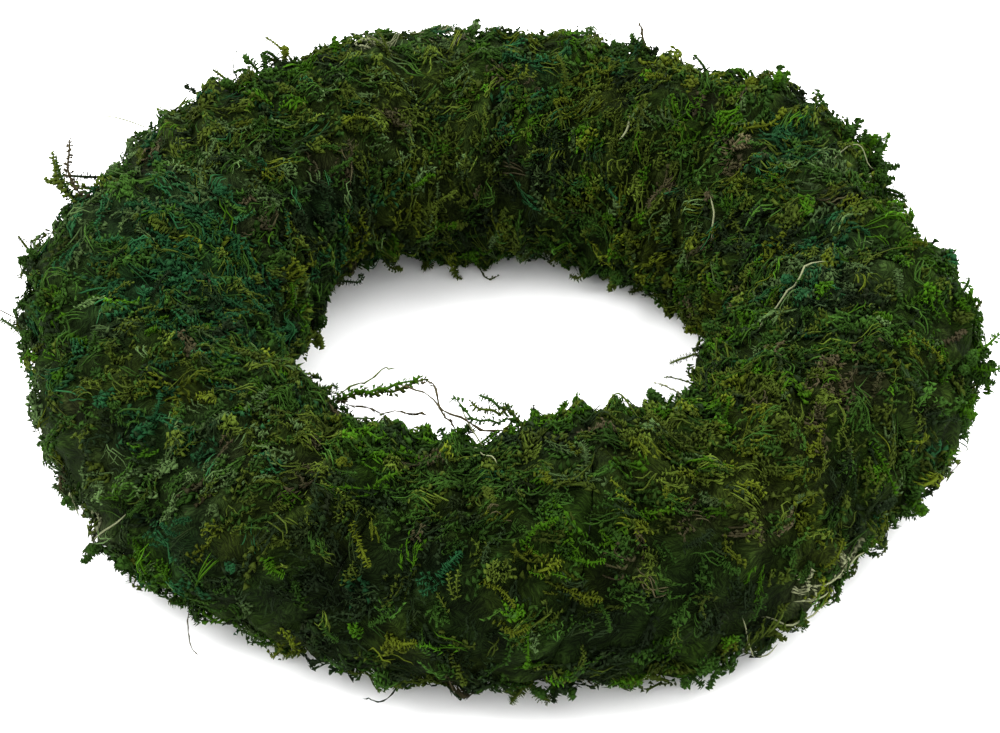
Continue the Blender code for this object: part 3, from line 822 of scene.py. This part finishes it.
# Stray sprigs, dry straws and curled shoots that show, each where it grew: kind, tone, width (1 is as
# modelled), turn and around of its root, the way it leaves (0 along the wreath, 90 on over the tube), how
# far its way turns, its length, and how far its tip ends above the moss, in degrees and millimetres.
SPRIGS = (
    ("leafy", "bright", 1.2, 225, 153, 0, 15, 34, 26), ("leafy", "olive", 1.2, 225, 154, 5, 10, 36, 27),
    ("twig", "olive", 0.7, 226, 148, 0, 0, 28, 24), ("wisp", "brown", 0.7, 225, 153, 0, 60, 37, 20),
    ("twig", "brown", 1.1, 227, 150, 15, -160, 17, 3), ("twig", "brown", 0.8, 278, 135, -172, 0, 46, 14),
    ("leafy", "deep", 1.0, 278, 135, -170, 0, 30, 13), ("leafy", "olive", 1.2, 278, 135, -176, 0, 25, 15),
    ("leafy", "deep", 1.2, 276, 135, -175, 0, 23, 18), ("wisp", "brown", 1.0, 262, 138, -135, -45, 22, 17),
    ("leafy", "olive", 1.3, 166, 47, -130, -85, 25, 20), ("leafy", "olive", 1.0, 158, 40, -55, -160, 33, 20),
    ("leafy", "deep", 1.2, 164, 41, -155, -60, 21, 18), ("leafy", "brown", 1.1, 162, 40, -145, -80, 26, 19),
    ("leafy", "dark_and_painted_shade", 1.2, 155, 38, -65, 15, 15, 11), ("leafy", "dark_and_painted_shade", 1.1, 164, 45, -90, -115, 17, 15),
    ("straw", "pale", 0.5, 143, 37, -40, 10, 19, 16), ("wisp", "brown", 1.0, 155, 38, -50, 0, 14, 4),
    ("straw", "brown", 0.5, 178, 8, 140, 40, 10, 9), ("twig", "dark_and_painted_shade", 0.6, 132, 64, -90, -110, 16, 13),
    ("twig", "dark_and_painted_shade", 0.5, 130, 54, -40, -140, 12, 6), ("leafy", "yellow", 0.9, 120, 50, -45, 20, 15, 13),
    ("straw", "pale", 0.4, 120, 48, -15, -165, 22, 9), ("straw", "brown", 0.4, 78, 64, -165, 0, 21, 7),
    ("twig", "brown", 1.2, 68, 49, 0, 55, 10, 9), ("straw", "pale", 1.2, 32, 31, -135, -90, 15, 2),
    ("straw", "pale", 1.2, 30, 29, 140, 0, 30, 2), ("straw", "pale", 0.5, 27, 66, -45, -95, 22, 4),
    ("leafy", "bright", 1.3, 350, 22, -50, 75, 18, 8), ("leafy", "bright", 1.3, 350, 18, -105, 105, 12, 10),
    ("twig", "dark_and_painted_shade", 0.7, 353, 2, -110, -30, 19, 2), ("twig", "brown", 0.5, 338, -21, 45, 0, 14, 6),
    ("leafy", "dark_and_painted_shade", 0.9, 143, -174, 165, 40, 18, 15), ("leafy", "olive", 0.8, 120, -105, -75, 65, 16, 9),
    ("leafy", "olive", 1.0, 99, -138, 25, 155, 11, 8), ("wisp", "olive", 0.9, 96, -130, 180, 25, 13, 9),
    ("leafy", "olive", 1.0, 66, -144, 40, -60, 10, 7), ("leafy", "olive", 0.9, 346, 166, 140, 0, 13, 11),
    ("wisp", "olive", 0.8, 341, 178, -115, -65, 13, 12), ("wisp", "pale", 0.8, 317, 144, -120, -95, 13, 11),
    ("straw", "olive", 0.7, 298, 106, 140, 25, 12, 6), ("leafy", "bright", 1.1, 282, 117, 15, -30, 12, 2),
    ("leafy", "bright", 1.0, 277, 135, -45, 30, 14, 3), ("straw", "pale", 0.6, 268, 132, -170, -10, 14, 11),
    ("leafy", "bright", 0.9, 262, 137, -10, 25, 14, 5), ("leafy", "deep", 0.9, 252, 129, 20, 65, 17, 1),
    ("leafy", "deep", 0.9, 220, 140, 30, 0, 11, 3), ("twig", "brown", 0.5, 228, -28, -50, 50, 18, 13),
    ("twig", "dark_and_painted_shade", 0.6, 259, -38, 180, 0, 16, 9), ("straw", "pale", 0.8, 212, -21, 45, 10, 31, 2),
    ("leafy", "bright", 1.2, 221, 4, -20, -25, 13, 2), ("wisp", "brown", 0.7, 264, -14, -80, 0, 13, 4),
    ("leafy", "deep", 1.0, 296, -17, -70, -40, 18, 7), ("straw", "pale", 0.5, 302, -38, 60, -50, 12, 4),
    ("straw", "pale", 0.8, 303, -11, -25, 25, 28, 2), ("straw", "pale", 0.6, 307, -7, 5, 5, 11, 2),
    ("straw", "pale", 0.6, 314, -4, -5, -5, 15, 2), ("wisp", "pale", 1.0, 308, 0, -15, 25, 15, 2),
    ("straw", "olive", 0.9, 272, 8, 45, -10, 15, 3), ("straw", "pale", 0.7, 300, -4, -80, 15, 21, 2),
    ("straw", "pale", 0.9, 338, 125, -25, -20, 35, 4), ("straw", "pale", 0.9, 24, 154, -90, 45, 17, 4),
    ("straw", "pale", 0.9, 61, 116, 135, -65, 12, 3), ("straw", "pale", 0.6, 264, 134, -70, 0, 30, 3),
    ("straw", "yellow", 0.6, 327, 48, -40, -105, 15, 3), ("straw", "olive", 0.6, 350, 84, 0, -75, 37, 3),
    ("leafy", "brown", 1.0, 349, 32, -10, -25, 14, 3), ("leafy", "yellow", 1.0, 132, 155, 135, -65, 34, 3),
    ("leafy", "yellow", 1.0, 118, 126, -75, 125, 16, 4), ("leafy", "bright", 0.9, 114, 164, -100, -90, 14, 4),
    ("leafy", "yellow", 1.3, 44, 98, 160, 160, 28, 4), ("leafy", "yellow", 1.0, 268, 35, 0, -65, 13, 3),
    ("leafy", "bright", 1.0, 272, 29, -60, -45, 23, 3), ("leafy", "yellow", 1.1, 270, 18, -40, 90, 11, 4),
    ("leafy", "yellow", 1.2, 250, 58, -55, 0, 19, 4), ("leafy", "bright", 1.4, 242, 30, -45, 45, 8, 3),
    ("leafy", "emerald", 1.3, 263, 35, 70, -30, 12, 3), ("leafy", "yellow", 1.2, 257, 1, 40, -40, 12, 3),
    ("leafy", "olive", 1.1, 264, 0, -55, -25, 16, 3), ("leafy", "bright", 1.1, 273, 50, 50, -40, 14, 4),
    ("leafy", "bright", 1.0, 278, 48, -50, 65, 15, 3), ("leafy", "yellow", 1.0, 277, 34, -35, 20, 16, 3),
    ("leafy", "yellow", 1.0, 310, 0, 55, -35, 16, 3), ("leafy", "bright", 1.1, 326, 41, -90, -10, 21, 4),
    ("leafy", "yellow", 1.0, 344, 55, -30, -105, 19, 3), ("leafy", "yellow", 1.1, 18, -178, 90, 145, 18, 3),
    ("leafy", "olive", 1.0, 80, 127, -135, -25, 23, 4), ("leafy", "olive", 1.1, 111, 174, -145, 0, 16, 4),
)
# Tufts of leafy shoots that stand out where the outline is shaggy: tone, turn and around of the root in
# degrees, number of shoots, and their length in millimetres.
FANS = (
    ("bright", 32, 31, 5, 11), ("bright", 30, 26, 6, 12), ("deep", 25, 33, 5, 11), ("yellow", 46, 68, 5, 8),
    ("bright", 44, 64, 5, 8), ("bright", 354, 1, 5, 9), ("deep", 350, 16, 5, 11), ("bright", 345, 8, 4, 11),
    ("bright", 358, 32, 4, 9), ("deep", 34, 40, 4, 8), ("dark_and_painted_shade", 278, -34, 6, 9), ("olive", 274, -36, 4, 9),
    ("soft", 206, -13, 4, 8), ("deep", 220, -18, 3, 7), ("olive", 228, -29, 3, 8), ("deep", 126, 52, 4, 10),
    ("olive", 132, 59, 4, 10), ("yellow", 122, 49, 4, 9), ("deep", 330, -17, 3, 8),
    ("bright", 332, -11, 3, 10), ("soft", 94, 67, 4, 8), ("soft", 72, 51, 3, 7), ("dark_and_painted_shade", 68, 49, 3, 7),
    ("soft", 213, -23, 3, 8), ("deep", 294, -36, 3, 8), ("soft", 180, 5, 4, 9), ("olive", 170, 20, 4, 8),
    ("olive", 104, -125, 4, 9), ("olive", 56, -155, 3, 9), ("bright", 308, 134, 4, 9),
    ("deep", 260, 138, 3, 8), ("olive", 153, -158, 4, 9),
)
STRAY_STEPS = 8
STRAY_ROOT_DEPTH = 0.8
STRAYS_ALL_OVER = 12


def stray_line(turn, around, way, turning, length, rise):
    """Places along a line that rises from its root and levels off, in degrees, and in millimetres above
    the moss."""
    turn, around, way, turning = (math.radians(v) for v in (turn, around, way, turning))
    flat = math.sqrt(max(length**2 - rise**2, 0.1 * length**2)) * 0.001 / STRAY_STEPS
    line = []
    for step in range(STRAY_STEPS + 1):
        share = step / STRAY_STEPS
        above = (rise + STRAY_ROOT_DEPTH) * share * (1.6 - 0.6 * share) - STRAY_ROOT_DEPTH
        line.append((math.degrees(turn), math.degrees(around), above))
        radius = HALF_WIDTH + rise * share * 0.001
        heading = way + turning * (share + 0.5 / STRAY_STEPS)
        around += math.sin(heading) * flat / radius
        turn += math.cos(heading) * flat / (RING_RADIUS + radius * math.cos(around))
    return line


def is_rooted(number, turn, around):
    """True if a place, in degrees, is on this handful."""
    share_round = ((around + 90) % 360) / 360
    return int((turn / 360 * HANDFULS - share_round) % HANDFULS) == number


def lay_sprigs(number, rng):
    """The sprigs and fans that are rooted in this handful, and leafy shoots that stand out all over it."""
    laid = []
    for kind, tone, width, turn, around, way, turning, length, rise in SPRIGS:
        if is_rooted(number, turn, around):
            colour = TONES[tone] * rng.uniform(0.85, 1.25)
            line = stray_line(turn, around, way, turning, length, rise)
            laid.append(lay_along(LONG[kind], line, colour, width))
    for tone, turn, around, shoots, longest in FANS:
        if is_rooted(number, turn, around):
            for shoot in range(shoots):
                way = 360 * (shoot + rng.random()) / shoots
                length = longest * rng.uniform(0.7, 1.1)
                turning, rise = rng.uniform(-70, 70), length * rng.uniform(0.4, 0.9)
                line = stray_line(turn, around, way, turning, length, rise)
                colour = TONES[tone if shoot % 2 else "deep"] * rng.uniform(0.8, 1.2)
                laid.append(lay_along(LONG["leafy"], line, colour, rng.uniform(1.1, 1.5)))
    share_round, share_long = spread_out(rng, STRAYS_ALL_OVER)
    turns = (number + share_round + share_long) * STEP_TURN
    arounds = UNDERSIDE + share_round * math.tau
    colours = pick_tones(rng, turns, arounds, 0.2)
    for turn, around, colour in zip(np.degrees(turns), np.degrees(arounds), colours):
        length = rng.uniform(6, 12)
        way, turning = rng.uniform(0, 360), rng.uniform(-110, 110)
        line = stray_line(turn, around, way, turning, length, length * rng.uniform(0.2, 0.75))
        laid.append(lay_along(LONG["leafy"], line, colour, rng.uniform(0.8, 1.2)))
    return laid


for number in range(HANDFULS):
    rng = np.random.default_rng(40 + number)
    handful = add_mat(number, rng)
    leafy = 0.5 + 0.5 * math.cos((number + 1) * STEP_TURN - LEAFIEST)
    layers = [lay_locks(number, rng, leafy, layer) for layer in LAYERS]
    layers += lay_sprigs(number, rng)
    shoots = gather(f"shoots_{number + 1:02d}", layers)
    bpy.ops.object.select_all(action="DESELECT")
    shoots.select_set(True)
    handful.select_set(True)
    bpy.context.view_layer.objects.active = handful
    bpy.ops.object.join()
    handful.name = f"handful_{number + 1:02d}"
    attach(handful, "root")
    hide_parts(f"moss_{number + 1:02d}")

# Floor, light and camera.
# A pale floor under an even white sky, with four large soft lamps, and a long lens that looks down
# at the wreath from the front.
bpy.ops.mesh.primitive_plane_add(size=12)
floor = bpy.context.object
floor.name = "studio_floor"
white = bpy.data.materials.new("white_sweep")
white.use_nodes = True
white.node_tree.nodes["Principled BSDF"].inputs["Base Color"].default_value = (0.97, 0.97, 0.97, 1)
white.node_tree.nodes["Principled BSDF"].inputs["Roughness"].default_value = 0.9
floor.data.materials.append(white)

world = bpy.data.worlds.new("studio") if scene.world is None else scene.world
scene.world = world
world.use_nodes = True
world.node_tree.nodes["Background"].inputs["Color"].default_value = (1, 1, 1, 1)
world.node_tree.nodes["Background"].inputs["Strength"].default_value = 2.4


def look_at(target, place):
    """The turn of a lamp or camera at a place that faces the target."""
    return (Vector(target) - Vector(place)).to_track_quat("-Z", "Y").to_euler()


def add_lamp(name, place, size, power):
    """A round soft lamp that shines on the wreath."""
    bpy.ops.object.light_add(type="AREA", location=place)
    lamp = bpy.context.object
    lamp.name = name
    lamp.data.shape = "DISK"
    lamp.data.size = size
    lamp.data.energy = power
    lamp.rotation_euler = look_at((0, 0, 0.03), place)


add_lamp("lamp_left", (-1.1, -0.2, 1.3), 0.9, 22)
add_lamp("lamp_right", (1.2, 0.3, 1.1), 0.9, 17)
add_lamp("lamp_back", (0.1, 1.3, 1.0), 1.0, 15)
add_lamp("lamp_front", (-0.2, -1.1, 1.5), 1.0, 4)

camera_place = (0.0003, -1.0799, 0.8788)
camera_target = (0.0015, -0.0056, 0.0281)
bpy.ops.object.camera_add(location=camera_place)
camera = bpy.context.object
camera.data.lens = 154.5
camera.data.sensor_width = 36
camera.rotation_euler = look_at(camera_target, camera_place)
scene.camera = camera
scene.view_settings.view_transform = "Standard"
